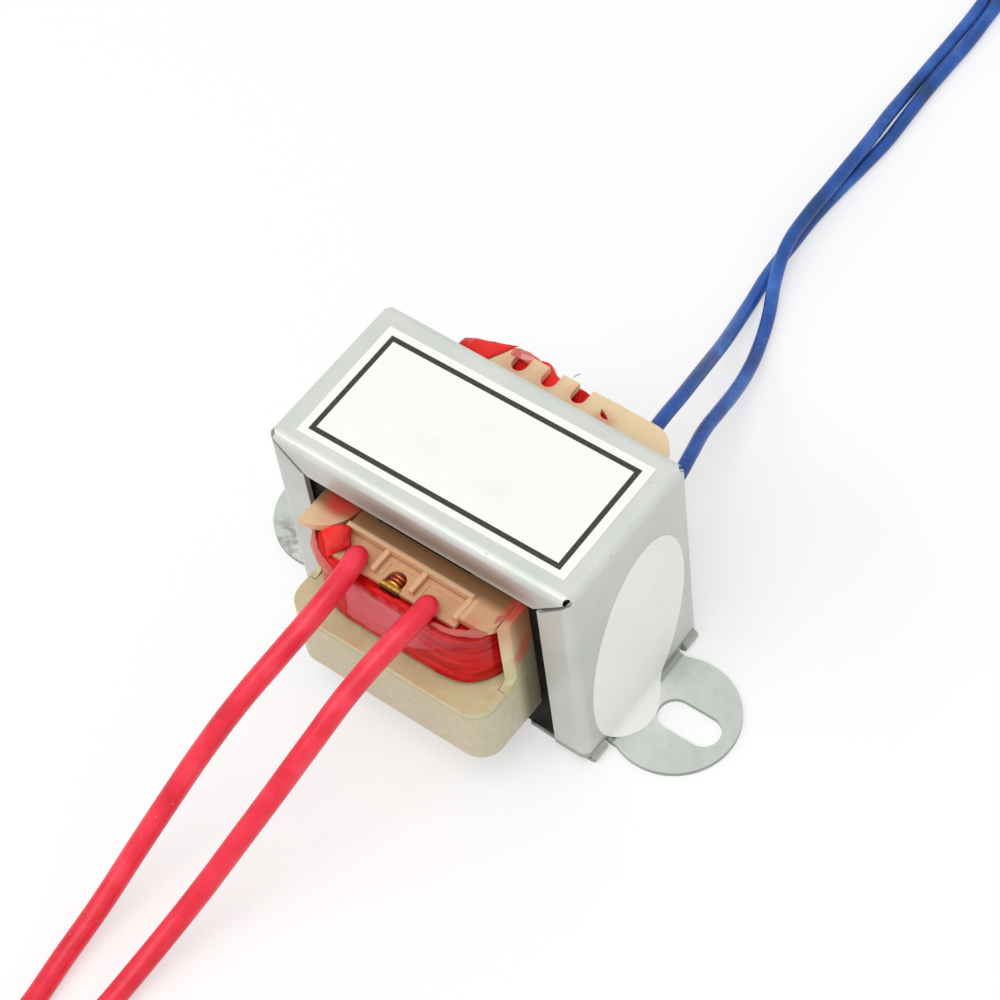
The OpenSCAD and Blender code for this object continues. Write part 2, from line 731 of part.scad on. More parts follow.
// Oval label on the +X wall, whose lower end lies over the bend onto the ear
module side_label() color(paper) {
    a = oval_w / 2;
    b = oval_h / 2;
    top_z = sqrt(pow(a * sin(oval_turn), 2) + pow(b * cos(oval_turn), 2));
    flat_z = oval_z - frame_t - oval_bend_r;
    steps = 48;
    // Heights from the top of the oval to its bottom, closer together at both ends
    rows = [for (i = [1 : steps - 1]) -top_z * cos(180 * i / steps)];
    q = pow(cos(oval_turn) / a, 2) + pow(sin(oval_turn) / b, 2);
    k = sin(oval_turn) * cos(oval_turn) * (1 / (a * a) - 1 / (b * b));
    c = pow(sin(oval_turn) / a, 2) + pow(cos(oval_turn) / b, 2);
    points = [for (h = rows)
        let (v = -h, mid = k * v / q, half = sqrt(max(0, mid * mid - (c * v * v - 1) / q)),
             back = bent(h - flat_z, 0), face = bent(h - flat_z, label_t))
        each [
            [back[0], mid - half, back[1]], [back[0], mid + half, back[1]],
            [face[0], mid + half, face[1]], [face[0], mid - half, face[1]]
        ]];
    skin = [for (i = [0 : steps - 3], j = [0 : 3])
        let (p = 4 * i + j, n = 4 * i + (j + 1) % 4)
        [p, n, n + 4, p + 4]];
    caps = [[3, 2, 1, 0], [for (j = [0 : 3]) 4 * (steps - 2) + j]];
    polyhedron(points, concat(skin, caps), convexity = 4);
}

clamp_frame();
e_sheets_yoke_up();
i_sheets_bottom();
e_sheets_yoke_down();
i_sheets_top();
bobbin();
front_cover();
rear_cover();
upper_winding();
upper_tape();
lower_winding();
lower_tape();
winding_wire_ends();
lead_joints();
red_lead_left();
red_lead_right();
blue_lead_upper();
blue_lead_lower();
red_left_bare_end();
red_right_bare_end();
blue_upper_bare_end();
blue_lower_bare_end();
top_label();
side_label();
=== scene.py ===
"""Looks of the laminated chassis transformer: camera, leads, detail pieces, materials and light."""
import math

import bpy
from mathutils import Matrix, Vector, noise


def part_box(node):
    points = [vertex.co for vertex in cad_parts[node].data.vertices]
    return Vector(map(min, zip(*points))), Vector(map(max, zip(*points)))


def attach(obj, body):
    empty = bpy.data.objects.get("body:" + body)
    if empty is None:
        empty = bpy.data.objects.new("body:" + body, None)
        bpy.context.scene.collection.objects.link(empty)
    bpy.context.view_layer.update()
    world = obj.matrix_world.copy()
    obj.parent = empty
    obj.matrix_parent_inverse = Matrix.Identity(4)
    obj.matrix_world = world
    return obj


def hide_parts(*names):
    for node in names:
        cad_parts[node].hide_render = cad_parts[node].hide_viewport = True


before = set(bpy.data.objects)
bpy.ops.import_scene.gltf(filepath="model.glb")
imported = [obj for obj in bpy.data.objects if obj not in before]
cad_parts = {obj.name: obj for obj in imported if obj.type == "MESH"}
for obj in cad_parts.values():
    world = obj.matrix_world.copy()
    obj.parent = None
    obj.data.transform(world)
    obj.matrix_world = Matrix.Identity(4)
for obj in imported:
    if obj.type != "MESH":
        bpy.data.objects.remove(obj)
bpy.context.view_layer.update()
# The object's sizes and places are written in millimetres, and MM turns them into Blender's metres
MM = 0.001

# ---- Camera ----

# Angles in degrees; the offset moves the camera to its right and up, and the lens is in mm
CAMERA_AZIMUTH = 44.34
CAMERA_ELEVATION = 54.89
CAMERA_ROLL = -8.88
CAMERA_DISTANCE = 348.5 * MM
CAMERA_TARGET = Vector((0, 0, 17 * MM))
CAMERA_OFFSET = (1.32 * MM, 4.24 * MM)
CAMERA_LENS = 107.4


def make_camera():
    """A long lens above the red leads' corner, rolled a little to the left."""
    azimuth, elevation, roll = (
        math.radians(a) for a in (CAMERA_AZIMUTH, CAMERA_ELEVATION, CAMERA_ROLL))
    back = Vector((math.sin(azimuth) * math.cos(elevation),
                   -math.cos(azimuth) * math.cos(elevation), math.sin(elevation)))
    level = Vector((math.cos(azimuth), math.sin(azimuth), 0))
    steep = back.cross(level)
    right = math.cos(roll) * level + math.sin(roll) * steep
    up = math.cos(roll) * steep - math.sin(roll) * level
    place = (CAMERA_TARGET + CAMERA_DISTANCE * back
             + CAMERA_OFFSET[0] * right + CAMERA_OFFSET[1] * up)
    data = bpy.data.cameras.new("camera")
    data.lens = CAMERA_LENS
    data.sensor_width = 36
    data.clip_start = 0.01
    camera = bpy.data.objects.new("camera", data)
    turn = Matrix((right, up, back)).transposed().to_4x4()
    camera.matrix_world = Matrix.Translation(place) @ turn
    bpy.context.collection.objects.link(camera)
    bpy.context.scene.camera = camera


make_camera()

# ---- Leads ----

# Routes from the bobbin to the free end, in millimetres, as in the part's source
RED_LEFT_ROUTE = [
    (-5.4, -14.6, 28.3), (-5, -17.4, 28.3), (-4.9, -22.5, 27.6), (-5.9, -29, 25.3),
    (-7.7, -35.2, 21.5), (-9.5, -40.8, 16.8), (-11, -46.2, 12), (-12.2, -52, 7.5),
    (-12.8, -58.5, 3.9), (-12.9, -65.5, 1.9), (-12.2, -73, 1.4), (-12.2, -81, 1.4),
    (-15.2, -88.2, 1.4), (-21.4, -93, 1.4), (-29, -94.6, 1.4), (-37, -94.6, 1.4),
    (-45, -94.6, 1.4),
]
RED_RIGHT_ROUTE = [
    (5.5, -15.4, 28.3), (5.4, -17.8, 28.3), (4.9, -22.5, 27.8), (3.8, -29, 25.6),
    (2.6, -35.3, 21.9), (1, -41.2, 17.2), (-0.7, -46.2, 12.6), (-2.4, -52, 7.9),
    (-3.8, -58, 4.3), (-4.7, -65, 2), (-4.8, -72.5, 1.4), (-3.2, -80.4, 1.4),
    (1.2, -87.2, 1.4), (8, -91.6, 1.4), (15.8, -93.4, 1.4), (23.8, -93.4, 1.4),
    (31.8, -93.4, 1.4),
]
BLUE_UPPER_ROUTE = [
    (6, 18.4, 13.5), (5.9, 22, 13.6), (5.5, 27, 13.4), (4.9, 31.8, 12.2),
    (3.9, 36.4, 10.3), (2.6, 41, 7.7), (1.2, 45.8, 4.9), (-0.2, 50.6, 2.6),
    (-1.4, 55.7, 1.1), (-2.2, 61, 0.9), (-2.4, 66.4, 0.9), (-2.6, 71.8, 0.9),
    (-2.4, 77.2, 0.9), (-2, 82.6, 0.9), (-1.7, 88, 0.9), (-1.9, 93.4, 0.9),
    (-2.1, 98.8, 0.9), (-2.1, 104.2, 0.9), (-2.1, 109.6, 0.9), (-2.4, 115, 0.9),
    (-2.6, 120.4, 0.9), (-2.8, 125.8, 0.9), (-3, 131.2, 0.9),
]
BLUE_LOWER_ROUTE = [
    (11.2, 18.4, 11), (11, 22, 11), (10, 26.6, 10.4), (8.7, 31, 8.9),
    (7.7, 35.6, 6.9), (6.6, 40.4, 4.6), (5.3, 45.2, 2.7), (3.7, 50, 1.4),
    (1.8, 55, 1.3), (-0.4, 59.8, 2.1), (-2, 64.9, 2.8), (-2.6, 70.2, 2.8),
    (-2.7, 75.6, 2.8), (-2.8, 81, 2.8), (-3.1, 86.4, 2.4), (-3.6, 91.8, 1.9),
    (-4, 97.2, 1.1), (-4.1, 102.6, 0.9), (-4.1, 108, 0.9), (-4.2, 113.4, 0.9),
    (-4.6, 118.8, 0.9), (-5.2, 124.2, 0.9), (-5.8, 129.6, 0.9),
]
# Diameters of the leads, and the length of their bare ends
RED_D = 2.7
BLUE_D = 1.8
TIP_L = 5
# Strands of a bare end: the width of their bundle as a share of the lead's, how often they turn
# round the middle one, and by what shares they spread and each next one is shorter
STRAND_SHARE = 0.5
STRAND_COUNT = 6
STRAND_TURNS = 0.7
STRAND_SPREAD = 0.12
STRAND_STAGGER = 0.02
STRAND_STEPS = 24
# Distances from a lead's inner end, as shares of its radius, at which its round end is drawn
END_STEPS = (0.01, 0.08, 0.25, 0.55, 1)


def solid_piece(name, verts, faces, smooth=True):
    """A mesh piece that rides on the transformer; its points are in millimetres."""
    mesh = bpy.data.meshes.new(name)
    mesh.from_pydata([Vector(v) * MM for v in verts], [], faces)
    if smooth:
        mesh.shade_smooth()
    else:
        mesh.shade_flat()
    piece = bpy.data.objects.new(name, mesh)
    bpy.context.collection.objects.link(piece)
    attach(piece, "root")
    return piece


def grid_faces(rows, columns, closed=False):
    """Quads of a grid of points that is stored row by row."""
    wrap = columns if closed else columns - 1
    return [(r * columns + c, r * columns + (c + 1) % columns,
             (r + 1) * columns + (c + 1) % columns, (r + 1) * columns + c)
            for r in range(rows - 1) for c in range(wrap)]


def tube(path, radius, sides=8):
    """Points and faces of a closed round tube along a path."""
    verts = []
    for i, centre in enumerate(path):
        heading = (path[min(i + 1, len(path) - 1)] - path[max(i - 1, 0)]).normalized()
        side = heading.orthogonal().normalized() if i == 0 else side - side.dot(heading) * heading
        side.normalize()
        up = heading.cross(side)
        for k in range(sides):
            a = math.tau * k / sides
            verts.append(centre + radius * (math.cos(a) * side + math.sin(a) * up))
    faces = grid_faces(len(path), sides, closed=True)
    last = len(verts) - sides
    faces += [tuple(range(sides - 1, -1, -1)), tuple(range(last, last + sides))]
    return verts, faces


def joined(name, parts):
    """One mesh piece made of several sets of points and faces."""
    verts, faces = [], []
    for part_verts, part_faces in parts:
        faces += [tuple(len(verts) + i for i in face) for face in part_faces]
        verts += part_verts
    return solid_piece(name, verts, faces)


def make_strands(name, node, route, diameter):
    """Twisted strands at the free end of a lead: six round a middle one."""
    start = Vector(route[-1])
    heading = (start - Vector(route[-2])).normalized()
    side = heading.cross(Vector((0, 0, 1))).normalized()
    up = side.cross(heading)
    # Three strands, which is six of their radii, lie across the bundle
    strand_r = diameter * STRAND_SHARE / 6
    parts = [tube([start, start + TIP_L * heading], strand_r)]
    for k in range(STRAND_COUNT):
        path = []
        for i in range(STRAND_STEPS + 1):
            t = i / STRAND_STEPS
            a = math.tau * (k / STRAND_COUNT + STRAND_TURNS * t)
            spread = 2 * strand_r * (1 + STRAND_SPREAD * t * math.sin(5 * k + 2))
            along = TIP_L * (t - STRAND_STAGGER * k * t)
            path.append(start + along * heading
                        + spread * (math.cos(a) * side + math.sin(a) * up))
        parts.append(tube(path, strand_r))
    piece = joined(name, parts)
    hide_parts(node)
    return piece


def make_lead(name, node, tip, route, diameter):
    """One lead: a smooth curve through the route, round at its inner end, and its strands."""
    radius = diameter / 2
    start, heading = Vector(route[0]), (Vector(route[1]) - Vector(route[0])).normalized()
    knots = [(start + s * radius * heading, math.sqrt(1 - (1 - s) ** 2)) for s in END_STEPS]
    knots += [(Vector(point), 1) for point in route[1:]]
    data = bpy.data.curves.new(name, "CURVE")
    data.dimensions = "3D"
    data.bevel_depth = 1
    data.bevel_resolution = 6
    data.use_fill_caps = True
    data.resolution_u = 10
    spline = data.splines.new("BEZIER")
    spline.bezier_points.add(len(knots) - 1)
    for knot, (point, share) in zip(spline.bezier_points, knots):
        knot.co = point * MM
        knot.radius = share * radius * MM
        knot.handle_left_type = knot.handle_right_type = "AUTO"
    lead = bpy.data.objects.new(name, data)
    bpy.context.collection.objects.link(lead)
    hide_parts(node)
    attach(lead, "root")
    strands = make_strands(name + "_strands", tip, route, diameter)
    return lead, strands


red_leads = [
    make_lead("lead_red_left", "red_lead_left", "red_left_bare_end", RED_LEFT_ROUTE, RED_D),
    make_lead("lead_red_right", "red_lead_right", "red_right_bare_end", RED_RIGHT_ROUTE, RED_D),
]
blue_leads = [
    make_lead("lead_blue_upper", "blue_lead_upper", "blue_upper_bare_end",
              BLUE_UPPER_ROUTE, BLUE_D),
    make_lead("lead_blue_lower", "blue_lead_lower", "blue_lower_bare_end",
              BLUE_LOWER_ROUTE, BLUE_D),
]

# ---- Tape ----

# The coil's outline is a superellipse of this power
COIL_POWER = 5.5
WRAP_COLUMNS = 480
WRAP_ROWS = 46
# Share of the half width beyond which the tape lies tight on the coil
TIGHT_FROM = 0.93
# Heights of the broad and the fine folds all round
FOLD_H = 0.1
FINE_FOLD_H = 0.05
# How far the front stands out near its foot, and the share of its height it takes to get there
FLARE = 0.95
FLARE_START = 0.03
# Creases of the tape's front, each from one place to another in X and Z, with its height
CREASES = [
    ((6.4, 17.9), (10.3, 17.5), 0.2), ((9.6, 18.3), (13, 22.4), 0.25),
    ((3.2, 22.4), (9.6, 21.6), 0.12), ((5, 20.6), (11.6, 20.3), 0.12),
    ((2.4, 19.2), (8.2, 18.7), 0.1), ((-4.2, 24), (-3.1, 22.6), 0.1),
    ((-6.4, 17.6), (-7.2, 24.2), 0.14), ((-12.4, 18.4), (-9.6, 21.6), 0.16),
]
# Half width of a crease, and how far it fades past its ends
CREASE_W = 0.22
CREASE_FADE = 0.4
# Places in X behind the core where the tape stands out past the ledge, by how much and how widely
REAR_BULGES = [(-10.9, 1.5, 2.1), (-4.6, 1.9, 1.9), (1.2, 0.5, 1.5)]
# The share of the height where they stand out most, and how far up and down they reach
BULGE_AT = 0.86
BULGE_REACH = 0.22
# How far the middle of the rear's height stands out all along
REAR_BELLY = 0.2
# The wrap's rim lies on top of the winding in rings, this far inside its outline; the folds of
# the sides have faded at the first of these distances that reaches RIM_FADE
RIM_INSETS = (0.3, 0.8, 1.4, 2, 2.6, 3.2, 3.8)
RIM_FADE = 0.8
RIM_CRUMPLE = 0.35

wrap_low, wrap_high = (Vector(corner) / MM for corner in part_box("upper_tape"))


def coil_outline():
    """Evenly spaced points of the coil's squarish oval, with the outward direction at each."""
    dense, count = [], 4 * WRAP_COLUMNS
    for i in range(count):
        a = math.tau * i / count
        c, s = math.cos(a), math.sin(a)
        reach = wrap_high.y if s > 0 else -wrap_low.y
        dense.append(Vector((math.copysign(abs(c) ** (2 / COIL_POWER), c) * wrap_high.x,
                             math.copysign(abs(s) ** (2 / COIL_POWER), s) * reach, 0)))
    gaps = [(dense[(i + 1) % count] - p).length for i, p in enumerate(dense)]
    step, travelled, even = sum(gaps) / WRAP_COLUMNS, 0.0, []
    for p, q, gap in zip(dense, dense[1:] + dense[:1], gaps):
        while len(even) < WRAP_COLUMNS and len(even) * step < travelled + gap:
            even.append(p.lerp(q, (len(even) * step - travelled) / gap))
        travelled += gap
    normals = []
    for i in range(WRAP_COLUMNS):
        along = even[(i + 1) % WRAP_COLUMNS] - even[i - 1]
        normals.append(Vector((along.y, -along.x, 0)).normalized())
    return even, normals


outline, outward = coil_outline()


def crease_height(x, z):
    """Height of the drawn creases at a place on the front of the tape."""
    height = 0.0
    for (ax, az), (bx, bz), rise in CREASES:
        length = math.hypot(bx - ax, bz - az)
        along = ((x - ax) * (bx - ax) + (z - az) * (bz - az)) / length
        off = ((x - ax) * (bz - az) - (z - az) * (bx - ax)) / length
        past = max(-along, along - length, 0)
        height += rise * math.exp(-(off / CREASE_W) ** 2 - (past / CREASE_FADE) ** 2)
    return height


def wrap_offset(p, z):
    """How far the wrapped tape stands out of the coil's outline at a height."""
    t = (z - wrap_low.z) / (wrap_high.z - wrap_low.z)
    free = max(0, 1 - (p.x / (TIGHT_FROM * wrap_high.x)) ** 6)
    broad = noise.noise(Vector((p.x * 0.35, p.y * 0.35, z * 0.5)))
    fine = noise.noise(Vector((p.x * 0.5 + 9, p.y * 0.5, z * 2.4)))
    folds = FOLD_H * broad + FINE_FOLD_H * fine
    if p.y < 0:
        flare = FLARE * (1 - t) ** 0.8 * (1 - math.exp(-t / FLARE_START))
        return free * (flare + folds + crease_height(p.x, z))
    bulge = sum(out * math.exp(-((p.x - x) / width) ** 2) for x, out, width in REAR_BULGES)
    bulge *= math.exp(-((t - BULGE_AT) / BULGE_REACH) ** 2)
    return free * (bulge + folds + REAR_BELLY * math.sin(math.pi * t))


def make_wrap():
    """Tape round the upper winding, with its flare, folds and a crumpled rim on the top."""
    verts = []
    for r in range(WRAP_ROWS):
        z = wrap_low.z + (wrap_high.z - wrap_low.z) * r / (WRAP_ROWS - 1)
        for p, out in zip(outline, outward):
            verts.append(p + wrap_offset(p, z) * out + Vector((0, 0, z)))
    top = wrap_high.z
    for inset in RIM_INSETS:
        fade = min(1, inset / RIM_FADE)
        for p, out in zip(outline, outward):
            crumple = RIM_CRUMPLE * (noise.noise(Vector((p.x * 0.9, p.y * 0.9, inset))) - 0.2)
            verts.append(p + (wrap_offset(p, top) * (1 - fade) - inset) * out
                         + Vector((0, 0, top + min(0, crumple * fade))))
    rows = WRAP_ROWS + len(RIM_INSETS)
    piece = solid_piece("tape_wrap", verts, grid_faces(rows, WRAP_COLUMNS, closed=True))
    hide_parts("upper_tape")
    return piece


wrap = make_wrap()

# ---- Loose film and crumpled tape ----

FILM_T = 0.07
# How far the film lies off the wrapped tape, and its rows of faces to each point of its profile
FILM_GAP = 0.06
FILM_STEPS = 5
# Profiles of the film, from its foot up, as distances out of the coil's outline and heights
ROLL_PROFILE = [(0.15, 24.8), (0.42, 25.7), (0.2, 26.7), (-0.3, 26.95), (-0.62, 26.6)]
TRAY_PROFILE = [(0.5, 26.8), (0.75, 27.2), (0.6, 27.6), (0.25, 27.8), (-0.2, 27.6)]
NOTCH_PROFILE = [(0.25, 23.8), (0.7, 24.6), (0.9, 25.5), (0.75, 26.5), (0.2, 27)]
LEDGE_PROFILE = [(1, 26.4), (0.85, 27.3), (0.35, 27.92), (-0.4, 27.98), (-0.9, 27.94)]
# Corners of the crumpled bits, in turn
NOTCH_LUMP = [(-12.3, -14.4, 26.2), (-8.6, -12.8, 28), (-6.9, -15, 28.1), (-8.8, -17.2, 26.8)]
END_LUMP = [(5.2, 14.9, 27), (7.4, 14.9, 27), (7.4, 15.7, 27.1), (5.2, 16.3, 27.1)]
REAR_LUMP = [(-14.7, 12.5, 27.9), (-10.8, 12.9, 27.9), (-8, 18.2, 27.8), (-14.3, 15.9, 27.6)]
LUMP_STEPS = 26
LUMP_FOLD_H = 0.3
# How far the edge of a crumpled bit strays from the lines between its corners
LUMP_STRAY = 0.35


def curve_point(points, k, t):
    """Place on a smooth (Catmull-Rom) curve through some points, at a share t past point k."""
    before, a, b, after = (Vector(points[min(max(k + d, 0), len(points) - 1)])
                           for d in (-1, 0, 1, 2))
    return 0.5 * (2 * a + (b - before) * t + (2 * before - 5 * a + 4 * b - after) * t ** 2
                  + (3 * a - before - 3 * b + after) * t ** 3)


def column_at(x, front=True):
    """Column of the coil's outline that lies nearest to a place in X, on the front or rear."""
    side = [i for i, p in enumerate(outline) if (p.y < 0) == front]
    # The share of Y picks the middlemost of the columns along the coil's sides
    return min(side, key=lambda i: abs(outline[i].x - x) + 0.01 * abs(outline[i].y))


def film_piece(name, verts, columns):
    """Thin sheet of tape through a grid of points that is stored row by row."""
    piece = solid_piece(name, verts, grid_faces(len(verts) // columns, columns))
    shell = piece.modifiers.new("thickness", "SOLIDIFY")
    shell.thickness = FILM_T * MM
    return piece


def film(name, first, last, profile, wave, seed):
    """Loose film on the wrapped tape, from one column of its outline to another."""
    columns, foot, verts = last - first + 1, profile[0][1], []
    for i in range((len(profile) - 1) * FILM_STEPS + 1):
        k = min(i // FILM_STEPS, len(profile) - 2)
        off, z = curve_point(profile, k, i / FILM_STEPS - k)
        for c in range(first, last + 1):
            p, out = outline[c % WRAP_COLUMNS], outward[c % WRAP_COLUMNS]
            ends = math.sin(math.pi * (c - first) / (columns - 1)) ** 0.4
            sway = noise.noise(Vector((0.28 * c, 0.9 * off, seed))) * wave
            lift = noise.noise(Vector((0.11 * c, seed, 0.4 * z))) * 2 * wave
            verts.append(p + ((off + sway) * ends + FILM_GAP) * out
                         + Vector((0, 0, foot + (z + lift - foot) * ends)))
    return film_piece(name, verts, columns)


def crumpled_patch(name, corners, dome, seed):
    """Crumpled bit of loose tape between four corners, standing up in the middle."""
    a, b, c, d = (Vector(corner) for corner in corners)
    shares = [k / LUMP_STEPS for k in range(LUMP_STEPS + 1)]
    verts = []
    for v in shares:
        for u in shares:
            p = a.lerp(b, u).lerp(d.lerp(c, u), v)
            rise = (math.sin(math.pi * u) * math.sin(math.pi * v)) ** 0.4
            fold = 1 - abs(noise.noise(Vector((2.6 * u + 1.5 * v, 1.1 * v, seed)))) * 2.4
            bend = noise.noise(Vector((1.7 * u, 1.9 * v, seed + 4)))
            stray = Vector((bend, noise.noise(Vector((seed, 2 * u, 2 * v))), 0))
            height = rise * (dome + LUMP_FOLD_H * fold + LUMP_FOLD_H * bend)
            verts.append(p + stray * LUMP_STRAY * (1 - rise) + Vector((0, 0, height)))
    return film_piece(name, verts, len(shares))


front_roll = film("tape_roll", column_at(-6.4), column_at(12.4), ROLL_PROFILE, 0.16, 3)
# Loose clear tape along the tray's right front edge; its pale colour also stands in for a painted
# highlight there
edge_film = film("film_at_tray", column_at(6.2), column_at(13.2), TRAY_PROFILE, 0.2, 11)
notch_film = film("film_at_notch", column_at(-13.1), column_at(-7), NOTCH_PROFILE, 0.24, 8)
rear_film = film("film_at_ledge", column_at(-4.2, front=False), column_at(-9.8, front=False),
                 LEDGE_PROFILE, 0.12, 5)
notch_lump = crumpled_patch("tape_lump_at_notch", NOTCH_LUMP, 0.85, 2)
end_lump = crumpled_patch("tape_at_ledge_end", END_LUMP, 0.1, 9)
rear_lump = crumpled_patch("tape_lump_at_ledge", REAR_LUMP, 0.7, 6)

# ---- Small things at the tray and the ledge ----

# Cells of the tray that have a stepped rim, each from one side to the other in X
TRAY_CELLS = [(-2.7, 2.1), (2.7, 8.4)]
TRAY_FLOOR = 27.05
RAIL_FRONT = -13.14
CELL_FRONT = -15.8
STEP_W = 0.7
STEP_H = 0.2
STEP_ROUND = 0.12
# Wires side by side over the front edge of the tray, with their path in Y and Z
BAND_WIRES = 17
BAND_WIRE_D = 0.155
BAND_X = -0.2
BAND_UNEVEN = 0.012
BAND_PATH = [
    (-15.7, 26.2), (-15.85, 26.8), (-16.1, 27.12), (-16.4, 27.26), (-16.66, 27.16),
    (-16.82, 26.9), (-16.9, 26.5), (-16.98, 26), (-17.05, 25.5),
]
# Web in the ledge's rightmost notch: its outline in X and Y, and its underside and top
WEB_RING = [(5.2, 16.3), (5.9, 15.98), (6.5, 15.62), (7, 15.3), (7.7, 15.2), (7.8, 17.7),
            (6.9, 17.82), (6, 17.7), (5.1, 17.72)]
WEB_LOW, WEB_TOP = 26.85, 27.84
# Cut end of a wire behind the ledge: where it starts, and how far it goes over, back and up
WHISKER_START = (-0.6, 17.5, 26.9)
WHISKER_REACH = (0.6, 1.7, 0.35)
WHISKER_R = 0.07
WHISKER_STEPS = 8


def make_tray_steps():
    """Low stepped rims along the rail and the ribs of two cells of the tray."""
    parts = []
    for left, right in TRAY_CELLS:
        ring = [(left, CELL_FRONT), (left, RAIL_FRONT), (right, RAIL_FRONT), (right, CELL_FRONT),
                (right - STEP_W, CELL_FRONT), (right - STEP_W, RAIL_FRONT - STEP_W),
                (left + STEP_W, RAIL_FRONT - STEP_W), (left + STEP_W, CELL_FRONT)]
        n = len(ring)
        verts = [Vector((x, y, z)) for z in (TRAY_FLOOR, TRAY_FLOOR + STEP_H) for x, y in ring]
        # The rim slopes down to its four front corners
        for corner in (0, 3, 4, 7):
            verts[n + corner] -= Vector((0, 0, STEP_H / 2))
        top = [(n, n + 1, n + 6, n + 7), (n + 1, n + 2, n + 5, n + 6), (n + 2, n + 3, n + 4, n + 5)]
        parts.append((verts, top + grid_faces(2, n, closed=True)))
    piece = joined("tray_steps", parts)
    rim = piece.modifiers.new("rim", "BEVEL")
    rim.width = STEP_ROUND * MM
    rim.segments = 3
    return piece


def make_wire_band():
    """Flat band of enamelled wires from the wire hole over the front edge of the tray."""
    parts = []
    for k in range(BAND_WIRES):
        x = BAND_X + (k - (BAND_WIRES - 1) / 2) * BAND_WIRE_D
        path = [Vector((x, y, z + BAND_UNEVEN * math.sin(5 * k))) for y, z in BAND_PATH]
        # Each wire is a little wider than its share of the band, so no gap shows
        parts.append(tube(path, 0.52 * BAND_WIRE_D))
    piece = joined("wire_band", parts)
    return piece


def make_ledge_web():
    """Web that fills most of the rightmost notch of the ledge."""
    n = len(WEB_RING)
    verts = [(x, y, z) for z in (WEB_LOW, WEB_TOP) for x, y in WEB_RING]
    faces = [tuple(range(n - 1, -1, -1)), tuple(range(n, 2 * n))]
    faces += grid_faces(2, n, closed=True)
    piece = solid_piece("ledge_web", verts, faces, smooth=False)
    return piece


def make_whisker():
    """Thin cut end of a wire that stands out behind the ledge."""
    x, y, z = WHISKER_START
    over, back, up = WHISKER_REACH
    path = [Vector((x + over * t, y + back * t, z + up * math.sin(2.4 * t)))
            for t in (k / WHISKER_STEPS for k in range(WHISKER_STEPS + 1))]
    piece = joined("wire_whisker", [tube(path, WHISKER_R)])
    return piece


tray_steps = make_tray_steps()
wire_band = make_wire_band()
whisker = make_whisker()
ledge_web = make_ledge_web()

# ---- Materials ----

# The rule printed on the top label: its middle, outer size, line width, blur and turn
RULE_CENTRE = (0.14 * MM, -0.28 * MM, 0)
RULE_SIZE = (35.2 * MM, 15.7 * MM)
RULE_W = 0.66 * MM
RULE_BLUR = 0.02 * MM
RULE_TURN = math.radians(0.6)
# Middle of the bend between a side of the chassis and its ear, and a grimy place on the left ear
BEND_PLACE = (22.6, 0, 0.7)
GRIMY_PLACE = (-28.4, -6.6, 0.7)
# Places where the tape's red shows through the cream plastic, with their radii and strengths
TAPE_GLOWS = [
    ((-11.7, -10.7, 27.8), 2.8, 0.85), ((-10.4, -10.4, 27.8), 2.6, 0.5),
    ((-11.6, -13, 27.8), 2.4, 0.25), ((13.6, -12.2, 27.8), 1.5, 0.7),
    ((13.6, -10.8, 27.8), 1.5, 0.7), ((14.3, -12.3, 20.6), 2, 0.55),
    ((14.3, -11.2, 22), 2, 0.5), ((10.5, -15.8, 27.4), 2, 0.3),
    ((-6.8, 16, 27.8), 3, 0.35), ((-2.6, 16, 27.8), 3, 0.3),
    ((1.8, 16, 27.8), 2.6, 0.25), ((6.4, 14.6, 27.8), 2.4, 0.4),
]
# Places where the loose tape is brighter because light passes through it, with their radii
LIT_PLACES = [((-9.8, -14.6, 27), 4), ((-4, 18.5, 26), 6), ((-11, 16.5, 27.5), 5)]


def rgb(hex_colour):
    """Linear colour with alpha from an sRGB hex string."""
    channels = [int(hex_colour[i:i + 2], 16) / 255 for i in (1, 3, 5)]
    return [c / 12.92 if c <= 0.04045 else ((c + 0.055) / 1.055) ** 2.4 for c in channels] + [1]


